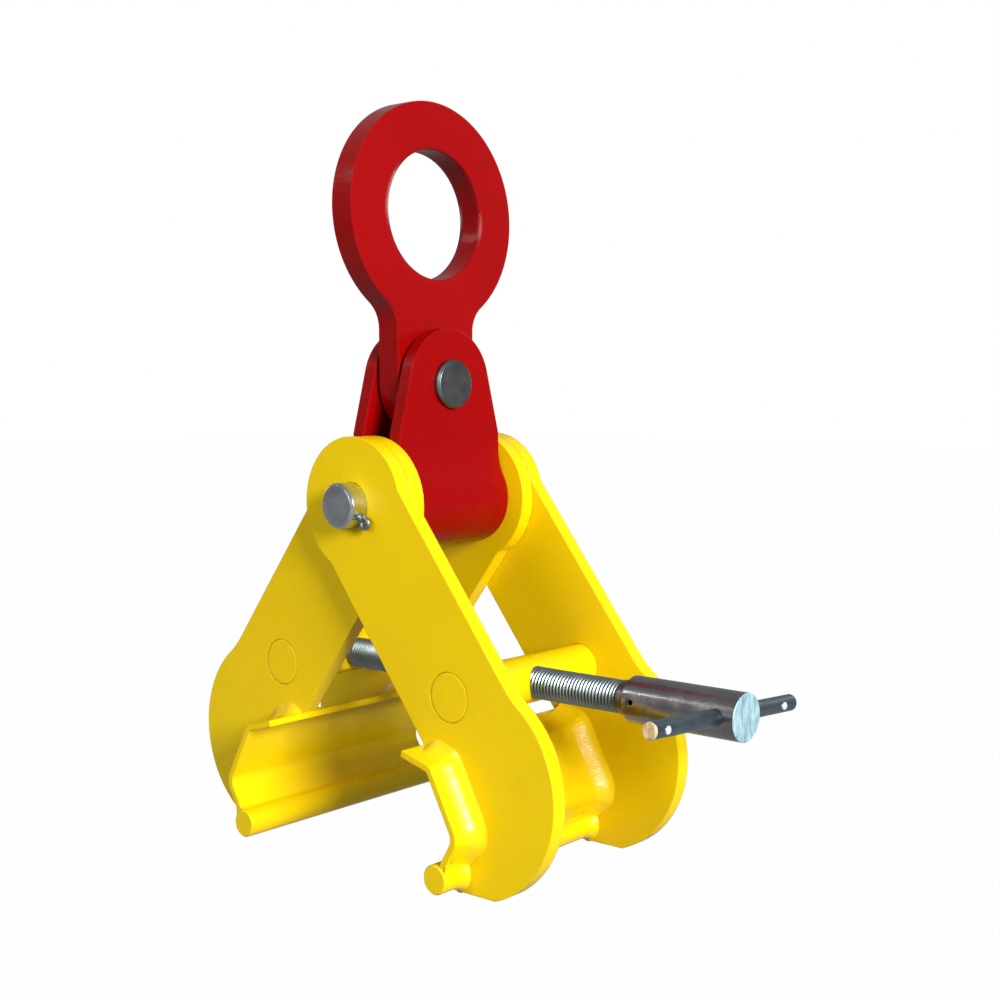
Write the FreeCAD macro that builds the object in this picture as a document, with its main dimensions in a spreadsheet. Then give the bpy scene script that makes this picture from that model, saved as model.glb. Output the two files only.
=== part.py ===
import FreeCAD, Part
import Sketcher
import math
import os
import sys

# A rail lifting clamp: a lifting eye pinned in a clevis, and two jaws that hang like scissors
# on one main pin and are drawn together by a hand-turned screw. X runs along the screw towards
# its handle, Y along the main pin, Z up. The origin is the centre of the eye's lifting hole.

Vector = FreeCAD.Vector

doc = FreeCAD.newDocument("RailLiftingClamp")
sheet = doc.addObject("Spreadsheet::Sheet", "Sizes")

# Each size in millimetres or degrees: alias, value, what it is
SIZES = [
    ("eye_hole_radius", 40.5, "lifting hole of the eye"),
    ("eye_ring_radius", 70.0, "outside of the eye's ring"),
    ("eye_thickness", 18.0, "plate of the eye"),
    ("eye_shank_width", 67.0, "shank below the ring, and its round foot"),
    ("eye_neck_radius", 20.0, "hollow between ring and shank"),
    ("eye_to_pin", 106.5, "lifting hole down to the eye pin"),
    ("pin_to_pivot", 74.5, "eye pin down to the main pin"),
    ("eye_side_gap", 2.5, "between the eye and each ear"),
    ("pin_clearance", 0.08, "radial, around every turning pin"),
    ("side_clearance", 0.3, "between plates that turn past each other"),
    ("edge_chamfer", 0.8, "broken edges of the cut plates"),
    ("ear_thickness", 10.0, "each ear of the clevis"),
    ("ear_top_radius", 35.0, "round top of an ear"),
    ("ear_shoulder_height", 43.0, "above the main pin, where an ear's sides turn upright"),
    ("boss_radius", 30.0, "tube across the clevis, outside"),
    ("boss_length", 89.0, "tube across the clevis"),
    ("ear_outer_weld_radius", 40.0, "hollow of the outer weld between ear and boss"),
    ("ear_inner_weld_radius", 6.0, "hollow of the inner weld between ear and boss"),
    ("weld_end_inset", 1.0, "weld ends short of the boss's end"),
    ("eye_pin_radius", 12.0, "shank of the eye pin"),
    ("eye_pin_head_radius", 15.5, "head of the eye pin"),
    ("eye_pin_head_length", 4.5, "head of the eye pin"),
    ("pin_end_chamfer", 1.5, "chamfers of both pins"),
    ("eye_pin_washer_radius", 19.0, "washer outside"),
    ("eye_pin_washer_thickness", 3.0, "washer"),
    ("eye_pin_tail", 10.0, "pin past its washer"),
    ("main_pin_radius", 14.0, "main pin, on which the jaws turn"),
    ("main_pin_head_radius", 18.0, "head at the back"),
    ("main_pin_head_length", 6.0, "head at the back"),
    ("main_pin_tail", 12.2, "pin past the front plate"),
    ("split_pin_radius", 2.2, "both split pins"),
    ("split_pin_wire", 1.6, "half-round wire of a split pin"),
    ("split_pin_loop", 2.9, "loop of a split pin"),
    ("split_pin_stand_off", 3.4, "split pin's centre from the face beside it"),
    ("split_pin_angle", 33.0, "main split pin's turn below level"),
    ("split_pin_leg", 8.0, "bent end of a split pin's leg"),
    ("split_pin_spread", 72.0, "turn of each bent leg"),
    ("arm_angle", 38.0, "jaw arm from the vertical"),
    ("arm_half_width", 38.5, "arm between its straight flanks"),
    ("head_radius", 42.0, "round head of an arm at the main pin"),
    ("head_corner_radius", 5.0, "hollow between head and flank"),
    ("plate_thickness", 10.0, "every jaw plate"),
    ("foot_radius", 66.6, "round heel of the foot"),
    ("foot_along", 186.2, "heel's centre from the main pin, along the arm"),
    ("foot_across", 23.9, "heel's centre from the arm's middle, towards the rail"),
    ("foot_hollow_radius", 60.0, "hollow from the outer flank to the heel"),
    ("foot_tail", 4.5, "foot past the bar's centre"),
    ("foot_drop", 4.5, "foot below the bar"),
    ("channel_thickness", 4.0, "bent plate of a jaw"),
    ("channel_half_length", 83.0, "jaw to each side"),
    ("channel_root_along", 166.85, "bend of the lip from the main pin"),
    ("channel_root_across", 24.4, "bend of the lip from the arm's middle"),
    ("channel_root_bend", 2.0, "inside radius of that bend"),
    ("channel_vertex_along", 212.3, "outer bend from the main pin"),
    ("channel_vertex_across", 32.0, "outer bend from the arm's middle"),
    ("channel_vertex_bend", 8.0, "inside radius of that bend"),
    ("lip_length", 23.8, "lip over the rail head"),
    ("lip_angle", 37.0, "lip's turn from the arm's line"),
    ("rod_radius", 9.0, "round bar along the bottom of a jaw"),
    ("rod_overhang", 1.0, "bar past each end of the channel"),
    ("rod_along", 221.4, "bar from the main pin, along the arm"),
    ("rod_across", 62.1, "bar from the arm's middle"),
    ("jaw_weld_leg", 9.0, "weld between channel and plates, across a plate"),
    ("jaw_weld_rise", 15.0, "that weld, along the channel"),
    ("jaw_weld_inset", 2.5, "that weld short of the lip's tip"),
    ("jaw_weld_end_gap", 0.6, "that weld short of the bar"),
    ("rod_weld_leg", 4.0, "weld round a bar, across a plate"),
    ("rod_weld_rise", 12.0, "weld round a bar, along it"),
    ("rod_weld_start", 10.0, "its start, turned from the channel's run"),
    ("rod_weld_sweep", 148.0, "its way round the bar"),
    ("trunnion_radius", 15.0, "cross bar that holds the screw"),
    ("trunnion_clearance", 0.2, "radial, around a cross bar in its plates"),
    ("trunnion_chamfer", 0.4, "ends of the cross bars"),
    ("trunnion_along", 136.25, "cross bar from the main pin"),
    ("trunnion_across", 2.65, "cross bar from the arm's middle"),
    ("screw_radius", 10.0, "M20 screw"),
    ("screw_clearance", 0.06, "radial, where the screw passes the right cross bar"),
    ("journal_radius", 8.0, "turned-down end of the screw"),
    ("journal_flat", 11.0, "spot face from the left cross bar's axis"),
    ("spot_face_radius", 17.0, "spot faces of the left cross bar"),
    ("journal_play", 0.3, "end play on each side of the left cross bar"),
    ("screw_washer_radius", 15.0, "washer at the screw's end"),
    ("screw_washer_thickness", 3.0, "washer at the screw's end"),
    ("nut_width", 24.0, "lock nut across its flats"),
    ("nut_length", 10.5, "hexagon of the lock nut"),
    ("nut_collar_length", 3.5, "round collar of the lock nut"),
    ("nut_collar_radius", 10.5, "round collar of the lock nut"),
    ("nut_chamfer_angle", 60.0, "chamfer of the hexagon, from the screw's axis"),
    ("journal_tail", 2.5, "thread past the nut"),
    ("screw_chamfer", 1.2, "chamfers of the screw"),
    ("screw_seat_gap", 1.0, "screw short of the bottom of the sleeve's bore"),
    ("screw_exposed", 71.0, "screw between right cross bar and sleeve"),
    ("neck_radius", 10.8, "collar at the sleeve"),
    ("neck_length", 5.5, "collar at the sleeve"),
    ("sleeve_radius", 14.0, "handle sleeve"),
    ("sleeve_length", 79.2, "handle sleeve"),
    ("sleeve_chamfer", 2.0, "inner end of the sleeve"),
    ("sleeve_end_chamfer", 0.4, "outer end of the sleeve"),
    ("sleeve_bore_depth", 26.0, "screw's seat in the sleeve"),
    ("sleeve_pin_radius", 2.75, "spring pin through sleeve and screw"),
    ("sleeve_pin_wall", 1.1, "spring pin's wall"),
    ("sleeve_pin_slot", 0.6, "spring pin's slot"),
    ("sleeve_pin_place", 7.6, "spring pin from the sleeve's inner end"),
    ("sleeve_pin_inset", 1.5, "spring pin below the sleeve's surface"),
    ("bar_radius", 5.0, "tommy bar"),
    ("bar_front", 75.1, "tommy bar to the front"),
    ("bar_back", 67.1, "tommy bar to the back"),
    ("bar_place", 12.0, "tommy bar from the sleeve's outer end"),
    ("bar_chamfer", 0.8, "ends of the tommy bar"),
    ("stop_radius", 1.9, "stop pins of the tommy bar"),
    ("stop_front_place", 10.0, "front stop pin from the bar's end"),
    ("stop_back_place", 15.0, "back stop pin from the bar's end"),
    ("stop_length", 12.6, "stop pins"),
    ("screw_turn", 4.0, "screw as it rests, with the tommy bar's front end above level"),
]

for row, (alias, value, meaning) in enumerate(SIZES, start=1):
    sheet.set("A%d" % row, str(value))
    sheet.setAlias("A%d" % row, alias)
    sheet.set("B%d" % row, meaning)
doc.recompute()


def number(expression):
    """The value of an expression in the sheet's sizes."""
    return float(sheet.evalExpression(expression))


size = {alias: number(alias) for alias, value, meaning in SIZES}

# Places that several pieces share
eye_pin_z = -size["eye_to_pin"]
pivot_z = -(size["eye_to_pin"] + size["pin_to_pivot"])
ear_inside = size["eye_thickness"] / 2 + size["eye_side_gap"]
ear_outside = ear_inside + size["ear_thickness"]
left_plate_inside = size["boss_length"] / 2 + size["side_clearance"]
left_plate_outside = left_plate_inside + size["plate_thickness"]
right_plate_inside = left_plate_outside + size["side_clearance"]
right_plate_outside = right_plate_inside + size["plate_thickness"]


def in_arm(along, across):
    """A point of the right jaw, from its distance down the arm and its offset from the rail."""
    turn = math.radians(size["arm_angle"])
    x = along * math.sin(turn) + across * math.cos(turn)
    z = -along * math.cos(turn) + across * math.sin(turn)
    return Vector(x, z, 0)


def arm_direction():
    return in_arm(1, 0)


def arm_outward():
    return in_arm(0, 1)


trunnion_at = in_arm(size["trunnion_along"], -size["trunnion_across"])
screw_z = pivot_z + trunnion_at.y
sleeve_start = trunnion_at.x + size["trunnion_radius"] + size["screw_exposed"]
sleeve_end = sleeve_start + size["sleeve_length"]
bar_x = sleeve_end - size["bar_place"]


class Outline:
    """A closed outline, drawn from a start point as one run or arc after another.

    Points are plane vectors for the right jaw; side -1 mirrors them for the left one.
    """

    def __init__(self, start, side=1):
        self.side = side
        self.parts = []
        self.start = self.place(start)
        self.here = self.start

    def place(self, point):
        return Vector(self.side * point.x, point.y, 0)

    def line(self, end):
        end = self.place(end)
        if end.distanceToPoint(self.here) > 1e-6:
            self.parts.append(Part.LineSegment(self.here, end))
            self.here = end
        return self

    def arc(self, centre, end, turn):
        """An arc about centre to end, turn 1 against the clock and -1 with it."""
        centre = self.place(centre)
        end = self.place(end)
        turn = turn * self.side
        first = math.atan2(self.here.y - centre.y, self.here.x - centre.x)
        last = math.atan2(end.y - centre.y, end.x - centre.x)
        sweep = (turn * (last - first)) % (2 * math.pi)
        middle = first + turn * sweep / 2
        radius = end.distanceToPoint(centre)
        through = centre + Vector(radius * math.cos(middle), radius * math.sin(middle), 0)
        self.parts.append(Part.Arc(self.here, through, end))
        self.here = end
        return self

    def close(self):
        if self.here.distanceToPoint(self.start) > 1e-6:
            self.parts.append(Part.LineSegment(self.here, self.start))
        return self.parts


def toward(start, end):
    """The unit vector from one point to another."""
    step = end - start
    return step.normalize()


def left_of(direction):
    return Vector(-direction.y, direction.x, 0)


def bend(before, corner, after, radius):
    """Centre, first and last point of the round that takes the corner off two straight runs."""
    inward = toward(corner, before)
    onward = toward(corner, after)
    half = math.acos(max(-1.0, min(1.0, inward.dot(onward)))) / 2
    back = radius / math.tan(half)
    middle = (inward + onward).normalize()
    return corner + middle * (radius / math.sin(half)), corner + inward * back, corner + onward * back


def round_meets_line(centre, radius, foot, direction, reach):
    """Centre of a hollow that touches a circle outside and stands reach off a straight line."""
    along = (centre - foot).dot(direction)
    off = (centre - foot).dot(left_of(direction))
    step = math.sqrt(max(0.0, radius ** 2 - (reach - off) ** 2))
    return foot + direction * (along - step) + left_of(direction) * reach


def origin_plane(body, role):
    return [feature for feature in body.Origin.OriginFeatures if feature.Role == role][0]


def new_body(label):
    body = doc.addObject("PartDesign::Body", label)
    body.Label = label
    return body


def new_sketch(body, name, role, parts, at=None):
    """A sketch on an origin plane of its body, its pieces joined end to end."""
    sketch = body.newObject("Sketcher::SketchObject", body.Name + "_" + name)
    sketch.AttachmentSupport = [(origin_plane(body, role), "")]
    sketch.MapMode = "FlatFace"
    if at is not None:
        sketch.setExpression("AttachmentOffset.Base.z", at)
    for part in parts:
        sketch.addGeometry(part, False)
    count = len(parts)
    joints = []
    for index in range(count if count > 1 else 0):
        after = (index + 1) % count
        ends = [(one, two) for one in (1, 2) for two in (1, 2)]
        one, two = min(ends, key=lambda pair: sketch.getPoint(index, pair[0]).distanceToPoint(
            sketch.getPoint(after, pair[1])))
        joints.append(Sketcher.Constraint("Coincident", index, one, after, two))
    for joint in joints:
        sketch.addConstraint(joint)
    return sketch


def add_place(sketch, index, point, across, up):
    """Holds a point of a sketch's piece at the values of two expressions."""
    for kind, expression in (("DistanceX", across), ("DistanceY", up)):
        constraint = Sketcher.Constraint(kind, -1, 1, index, point, number(expression))
        place = sketch.addConstraint(constraint)
        sketch.setExpression("Constraints[%d]" % place, bound(expression))


def add_circle(sketch, across, up, radius):
    """A circle whose centre and radius are expressions in the sheet."""
    centre = Vector(number(across), number(up), 0)
    index = sketch.addGeometry(Part.Circle(centre, Vector(0, 0, 1), number(radius)), False)
    add_place(sketch, index, 3, across, up)
    place = sketch.addConstraint(Sketcher.Constraint("Radius", index, number(radius)))
    sketch.setExpression("Constraints[%d]" % place, bound(radius))
    return index


def bound(expression):
    """The expression with each size named in the sheet."""
    words = []
    word = ""
    for letter in expression + " ":
        if letter.isalnum() or letter == "_":
            word += letter
        else:
            words.append("Sizes." + word if word in size else word)
            words.append(letter)
            word = ""
    return "".join(words).strip()


def add_profile(sketch, corners):
    """A closed polygon whose corners are pairs of expressions in the sheet."""
    points = [Vector(number(across), number(up), 0) for across, up in corners]
    count = len(points)
    first = sketch.GeometryCount
    for index in range(count):
        sketch.addGeometry(Part.LineSegment(points[index], points[(index + 1) % count]), False)
    for index in range(count):
        after = first + (index + 1) % count
        sketch.addConstraint(Sketcher.Constraint("Coincident", first + index, 2, after, 1))
    for index, (across, up) in enumerate(corners):
        add_place(sketch, first + index, 1, across, up)


def add_pad(body, sketch, length, symmetric=False, backward=False):
    pad = body.newObject("PartDesign::Pad", body.Name + "_pad")
    pad.Profile = sketch
    pad.setExpression("Length", bound(length))
    if symmetric:
        pad.SideType = "Symmetric"
    pad.Reversed = backward
    sketch.Visibility = False
    return pad


def add_cut(body, sketch, name="cut"):
    """A pocket through the whole body, both ways from its sketch."""
    before = solid_of(body).Volume
    cut = body.newObject("PartDesign::Pocket", body.Name + "_" + name)
    cut.Profile = sketch
    cut.SideType = "Two sides"
    cut.Type = "ThroughAll"
    cut.Type2 = "ThroughAll"
    doc.recompute()
    if solid_of(body).Volume >= before:
        sys.exit("the cut %s of %s took nothing away" % (name, body.Label))
    return cut


def add_turned(body, sketch, axis):
    """A profile turned once round an axis of its body."""
    turned = body.newObject("PartDesign::Revolution", body.Name + "_turned")
    turned.Profile = sketch
    turned.ReferenceAxis = (origin_plane(body, axis), [""])
    turned.Angle = 360.0
    return turned


def solid_of(body):
    doc.recompute()
    return body.Shape


def flat_face_edges(shape, axis, places):
    """The names of the outer edges of the faces that lie flat at the given places on an axis."""
    found = []
    for face in shape.Faces:
        box = face.BoundBox
        low = (box.XMin, box.YMin, box.ZMin)[axis]
        high = (box.XMax, box.YMax, box.ZMax)[axis]
        if high - low > 1e-4 or min(abs(low - place) for place in places) > 1e-3:
            continue
        for edge in face.OuterWire.Edges:
            for index, candidate in enumerate(shape.Edges, start=1):
                if candidate.isSame(edge):
                    found.append("Edge%d" % index)
    return found


def add_chamfer(body, axis, places, width="edge_chamfer"):
    """Breaks the outer edges of a plate's flat faces."""
    shape = solid_of(body)
    edges = flat_face_edges(shape, axis, places)
    plain = body.Tip
    chamfer = body.newObject("PartDesign::Chamfer", body.Name + "_chamfer")
    chamfer.Base = (plain, edges)
    chamfer.setExpression("Size", bound(width))
    body.Tip = chamfer
    doc.recompute()
    return chamfer


def move(part, x=0.0, y=0.0, z=0.0, turn=0.0):
    """Places a part, turned by an angle about its own X axis."""
    part.Placement = FreeCAD.Placement(Vector(x, y, z), FreeCAD.Rotation(Vector(1, 0, 0), turn))


def group(label, shapes):
    """A sub-part whose solids are worked out from the sheet's sizes."""
    part = doc.addObject("Part::Feature", label)
    part.Label = label
    part.Shape = Part.makeCompound(shapes)
    part.Placement = FreeCAD.Placement()
    return part


# Lifting eye: a ring, a shank with hollow necks, and a round foot on the eye pin
def lifting_eye():
    half = size["eye_shank_width"] / 2
    ring = size["eye_ring_radius"]
    neck = size["eye_neck_radius"]
    neck_z = -math.sqrt((ring + neck) ** 2 - (half + neck) ** 2)
    right_neck = Vector(half + neck, neck_z, 0)
    left_neck = Vector(-half - neck, neck_z, 0)
    reach = ring / (ring + neck)
    foot = Vector(0, eye_pin_z, 0)
    outline = Outline(left_neck * reach)
    outline.arc(Vector(0, 0, 0), right_neck * reach, -1)
    outline.arc(right_neck, Vector(half, neck_z, 0), 1)
    outline.line(Vector(half, eye_pin_z, 0))
    outline.arc(foot, Vector(-half, eye_pin_z, 0), -1)
    outline.line(Vector(-half, neck_z, 0))
    outline.arc(left_neck, left_neck * reach, 1)
    body = new_body("lifting_eye")
    sketch = new_sketch(body, "outline", "YZ_Plane", outline.close())
    add_circle(sketch, "0", "0", "eye_hole_radius")
    add_circle(sketch, "0", "-eye_to_pin", "eye_pin_radius + pin_clearance")
    add_pad(body, sketch, "eye_thickness", symmetric=True)
    add_chamfer(body, 0, (-size["eye_thickness"] / 2, size["eye_thickness"] / 2))
    return body


# Clevis: a tube on the main pin, two ears up to the eye pin, and the welds between them
def clevis_boss():
    body = new_body("clevis_boss")
    sketch = new_sketch(body, "outline", "XZ_Plane", [])
    add_circle(sketch, "0", "0", "boss_radius")
    add_circle(sketch, "0", "0", "main_pin_radius + pin_clearance")
    add_pad(body, sketch, "boss_length", symmetric=True)
    add_chamfer(body, 1, (-size["boss_length"] / 2, size["boss_length"] / 2))
    move(body, z=pivot_z)
    return body


def clevis_ear(label, side):
    half = size["boss_length"] / 2
    top = Vector(0, size["pin_to_pivot"], 0)
    radius = size["ear_top_radius"]
    shoulder = Vector(half, size["ear_shoulder_height"], 0)
    span = shoulder - top
    lean = math.acos(min(1.0, radius / span.Length)) + math.atan2(span.y, span.x)
    touch = top + Vector(math.cos(lean), math.sin(lean), 0) * radius
    outline = Outline(Vector(-touch.x, touch.y, 0))
    outline.arc(top, touch, -1)
    outline.line(shoulder)
    outline.line(Vector(half, 0, 0))
    outline.line(Vector(-half, 0, 0))
    outline.line(Vector(-half, shoulder.y, 0))
    body = new_body(label)
    inside = "(eye_thickness / 2 + eye_side_gap)"
    at = bound(inside) if side > 0 else bound("-" + inside)
    sketch = new_sketch(body, "outline", "YZ_Plane", outline.close(), at)
    add_circle(sketch, "0", "pin_to_pivot", "eye_pin_radius")
    add_pad(body, sketch, "ear_thickness", backward=side < 0)
    add_chamfer(body, 0, (side * ear_inside, side * ear_outside))
    saddle = new_sketch(body, "saddle", "XZ_Plane", [])
    add_circle(saddle, "0", "0", "boss_radius")
    add_cut(body, saddle, "saddle_cut")
    move(body, z=pivot_z)
    return body


def hollow_weld(wall_x, hollow):
    """Weld beside an ear's face at wall_x: a hollow of the given radius down to the boss."""
    boss = size["boss_radius"]
    away = 1 if hollow > 0 else -1
    radius = abs(hollow)
    middle_x = wall_x + away * radius
    middle = Vector(middle_x, 0, math.sqrt((boss + radius) ** 2 - middle_x ** 2))
    on_wall = Vector(wall_x, 0, middle.z)
    on_boss = middle * (boss / (boss + radius))
    corner = Vector(wall_x, 0, math.sqrt(boss ** 2 - wall_x ** 2))
    belly = middle + toward(middle, (on_wall + on_boss) * 0.5) * radius
    seat = ((corner + on_boss) * 0.5).normalize() * boss
    edges = [
        Part.LineSegment(corner, on_wall).toShape(),
        Part.Arc(on_wall, belly, on_boss).toShape(),
        Part.Arc(on_boss, seat, corner).toShape(),
    ]
    half = size["boss_length"] / 2 - size["weld_end_inset"]
    weld = Part.Face(Part.Wire(edges)).extrude(Vector(0, 2 * half, 0))
    weld.translate(Vector(0, -half, pivot_z))
    return weld


def clevis_welds():
    outer = hollow_weld(ear_outside, size["ear_outer_weld_radius"])
    inner = hollow_weld(ear_inside, -size["ear_inner_weld_radius"])
    upright = Vector(1, 0, 0)
    base = Vector(0, 0, 0)
    return group("clevis_welds", [outer, outer.mirror(base, upright), inner, inner.mirror(base, upright)])


# Pins, turned about their own axes, with their washers and split pins
def eye_pin():
    body = new_body("eye_pin")
    face = "(eye_thickness / 2 + eye_side_gap + ear_thickness)"
    washer_face = "-" + face + " - eye_pin_washer_thickness"
    tail = washer_face + " - eye_pin_tail"
    sketch = new_sketch(body, "profile", "XZ_Plane", [])
    add_profile(sketch, [
        (tail, "0"),
        (tail, "eye_pin_radius - pin_end_chamfer"),
        (tail + " + pin_end_chamfer", "eye_pin_radius"),
        (face, "eye_pin_radius"),
        (face, "eye_pin_head_radius"),
        (face + " + eye_pin_head_length - pin_end_chamfer", "eye_pin_head_radius"),
        (face + " + eye_pin_head_length", "eye_pin_head_radius - pin_end_chamfer"),
        (face + " + eye_pin_head_length", "0"),
    ])
    add_turned(body, sketch, "X_Axis")
    hole = new_sketch(body, "split_pin_hole", "XY_Plane", [])
    add_circle(hole, washer_face + " - split_pin_stand_off", "0", "split_pin_radius")
    add_cut(body, hole)
    move(body, z=eye_pin_z)
    return body


def ring(label, role, outside, inside, length, at, x=0.0, y=0.0, z=0.0):
    """A plain ring or tube; role is the plane that it is drawn on, and at its start."""
    body = new_body(label)
    sketch = new_sketch(body, "outline", role, [], bound(at))
    add_circle(sketch, "0", "0", outside)
    add_circle(sketch, "0", "0", inside)
    add_pad(body, sketch, length)
    move(body, x, y, z)
    return body


def split_pin(label, centre, direction, across, through):
    """A split pin: a loop, a shank through a pin of radius through, and two legs bent apart.

    direction points from the loop to the legs, which bend to both sides along across.
    """
    radius = size["split_pin_radius"]
    leg = size["split_pin_leg"]
    wire = size["split_pin_wire"]
    loop = size["split_pin_loop"]
    reach = through + wire
    shank = Part.makeCylinder(radius, 2 * reach, centre - direction * reach, direction)
    plane = direction.cross(across)
    eye = Part.makeTorus(loop, wire, centre - direction * (reach + loop), plane)
    pieces = [shank, eye]
    start = centre + direction * reach
    for turn in (-1, 1):
        bent = math.radians(size["split_pin_spread"]) * turn
        way = direction * math.cos(bent) + across * math.sin(bent)
        foot = start + across * (turn * (radius - wire))
        pieces.append(Part.makeCylinder(wire, leg, foot, way))
        pieces.append(Part.makeSphere(wire, foot + way * leg))
    solid = pieces[0].multiFuse(pieces[1:]).removeSplitter()
    return group(label, solid.Solids)


def eye_pin_split_pin():
    x = -(ear_outside + size["eye_pin_washer_thickness"] + size["split_pin_stand_off"])
    centre = Vector(x, 0, eye_pin_z)
    through = size["eye_pin_radius"]
    return split_pin("eye_pin_split_pin", centre, Vector(0, 0, -1), Vector(0, 1, 0), through)


def main_pin():
    body = new_body("main_pin")
    outside = "(boss_length / 2 + 2 * side_clearance + 2 * plate_thickness)"
    sketch = new_sketch(body, "profile", "YZ_Plane", [])
    front = "-" + outside + " - main_pin_tail"
    back = outside + " + side_clearance"
    add_profile(sketch, [
        (front, "0"),
        (front, "main_pin_radius - pin_end_chamfer"),
        (front + " + pin_end_chamfer", "main_pin_radius"),
        (back, "main_pin_radius"),
        (back, "main_pin_head_radius"),
        (back + " + main_pin_head_length - pin_end_chamfer", "main_pin_head_radius"),
        (back + " + main_pin_head_length", "main_pin_head_radius - pin_end_chamfer"),
        (back + " + main_pin_head_length", "0"),
    ])
    add_turned(body, sketch, "Y_Axis")
    doc.recompute()
    reach = 2 * size["main_pin_radius"]
    direction = split_pin_direction()
    start = main_split_pin_centre() - direction * reach - Vector(0, 0, pivot_z)
    hole = doc.addObject("Part::Feature", "main_pin_hole")
    hole.Shape = Part.makeCylinder(size["split_pin_radius"], 2 * reach, start, direction)
    pin = doc.addObject("Part::Cut", "main_pin_drilled")
    pin.Base = body
    pin.Tool = hole
    body.Label = "main_pin_blank"
    pin.Label = "main_pin"
    move(pin, z=pivot_z)
    return pin


def split_pin_direction():
    turn = math.radians(size["split_pin_angle"])
    return Vector(math.cos(turn), 0, -math.sin(turn))


def main_split_pin_centre():
    return Vector(0, -(right_plate_outside + size["split_pin_stand_off"]), pivot_z)


def main_pin_split_pin():
    direction = split_pin_direction() * -1
    across = direction.cross(Vector(0, 1, 0))
    through = size["main_pin_radius"]
    return split_pin("main_pin_split_pin", main_split_pin_centre(), direction, across, through)


# A jaw: a bent channel and a round bar, carried by a front and a rear plate and welded to them
def channel_path():
    """Corners of the channel's outer side in the right jaw: lip tip, root, vertex and bar."""
    root = in_arm(size["channel_root_along"], -size["channel_root_across"])
    vertex = in_arm(size["channel_vertex_along"], -size["channel_vertex_across"])
    rod = in_arm(size["rod_along"], -size["rod_across"])
    turn = math.radians(size["lip_angle"])
    lip = root - arm_direction() * (size["lip_length"] * math.cos(turn))
    lip = lip - arm_outward() * (size["lip_length"] * math.sin(turn))
    outward = left_of(toward(vertex, rod))
    end = rod + outward * (size["channel_thickness"] / 2)
    return lip, root, vertex, end, rod


def offset_path(corners, distance):
    """The path moved sideways to its left by distance, with sharp corners."""
    moved = []
    count = len(corners)
    for index in range(count):
        ways = []
        if index > 0:
            ways.append(left_of(toward(corners[index - 1], corners[index])))
        if index < count - 1:
            ways.append(left_of(toward(corners[index], corners[index + 1])))
        if len(ways) == 1:
            moved.append(corners[index] + ways[0] * distance)
        else:
            reach = distance / (1 + ways[0].dot(ways[1]))
            moved.append(corners[index] + (ways[0] + ways[1]) * reach)
    return moved


def channel_runs(outline, corners, grow, backward=False):
    """Draws lip, root bend, middle, vertex bend and last run, grow outside the outer side."""
    lip, root, vertex, end = corners
    grow += size["channel_thickness"]
    bends = [(lip, root, vertex, size["channel_root_bend"] + grow)]
    bends.append((root, vertex, end, size["channel_vertex_bend"] + grow))
    if backward:
        bends = [(after, corner, before, radius) for before, corner, after, radius in reversed(bends)]
    for before, corner, after, radius in bends:
        centre, first, last = bend(before, corner, after, radius)
        outline.line(first)
        outline.arc(centre, last, 1 if backward else -1)
    outline.line(lip if backward else end)


def jaw_channel(label, side):
    lip, root, vertex, end, rod = channel_path()
    outer = [lip, root, vertex, end]
    inner = offset_path(outer, -size["channel_thickness"])
    outline = Outline(lip, side)
    channel_runs(outline, outer, 0.0)
    outline.line(inner[-1])
    channel_runs(outline, inner, -size["channel_thickness"], backward=True)
    body = new_body(label)
    sketch = new_sketch(body, "outline", "XZ_Plane", outline.close())
    add_pad(body, sketch, "2 * channel_half_length", symmetric=True)
    doc.recompute()
    seat = new_sketch(body, "bar_seat", "XZ_Plane", [Part.Circle(
        Vector(side * rod.x, rod.y, 0), Vector(0, 0, 1), size["rod_radius"])])
    add_cut(body, seat)
    move(body, z=pivot_z)
    return body


def jaw_rod(label, side):
    rod = channel_path()[-1]
    body = new_body(label)
    sketch = new_sketch(body, "outline", "XZ_Plane", [Part.Circle(
        Vector(side * rod.x, rod.y, 0), Vector(0, 0, 1), size["rod_radius"])])
    place = sketch.addConstraint(Sketcher.Constraint("Radius", 0, size["rod_radius"]))
    sketch.setExpression("Constraints[%d]" % place, "Sizes.rod_radius")
    add_pad(body, sketch, "2 * (channel_half_length + rod_overhang)", symmetric=True)
    half_length = size["channel_half_length"] + size["rod_overhang"]
    add_chamfer(body, 1, (-half_length, half_length))
    move(body, z=pivot_z)
    return body


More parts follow.
